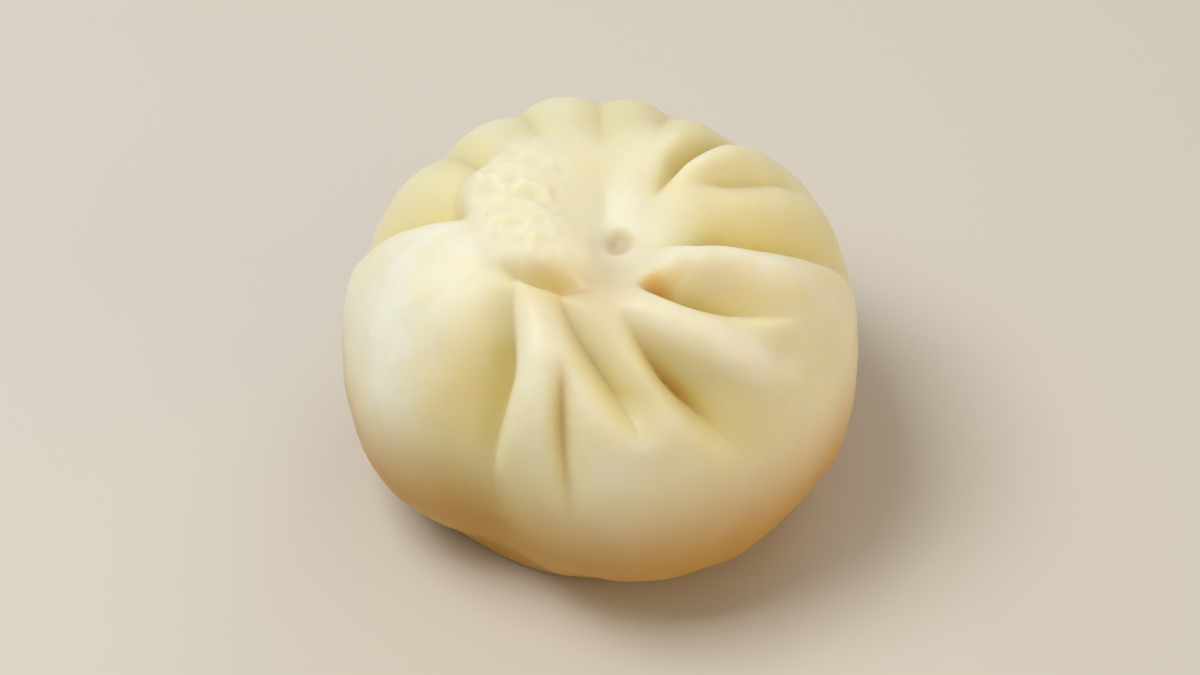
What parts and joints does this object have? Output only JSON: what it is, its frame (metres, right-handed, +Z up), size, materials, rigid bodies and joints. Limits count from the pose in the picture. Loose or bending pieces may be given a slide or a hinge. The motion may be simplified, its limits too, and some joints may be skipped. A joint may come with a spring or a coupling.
{
  "type": "xiaolongbao",
  "caption": "Steamed soup dumpling of thin wheat dough, gathered into twisted pleats beside a folded flap, with a flat foot.",
  "frame": {"origin": "centre of the bounding box, on the plane of the flat foot", "axes": "+Z up, +Y away from the side that the picture shows, +X to the right of the picture"},
  "size_m": [0.0568, 0.058, 0.0413],
  "materials": {
    "dough": "soft, slightly wet and translucent steamed wheat dough, pale cream with a yellow tinge in the creases"
  },
  "bodies": {
    "root": {"dumpling": "dough"}
  },
  "joints": []
}
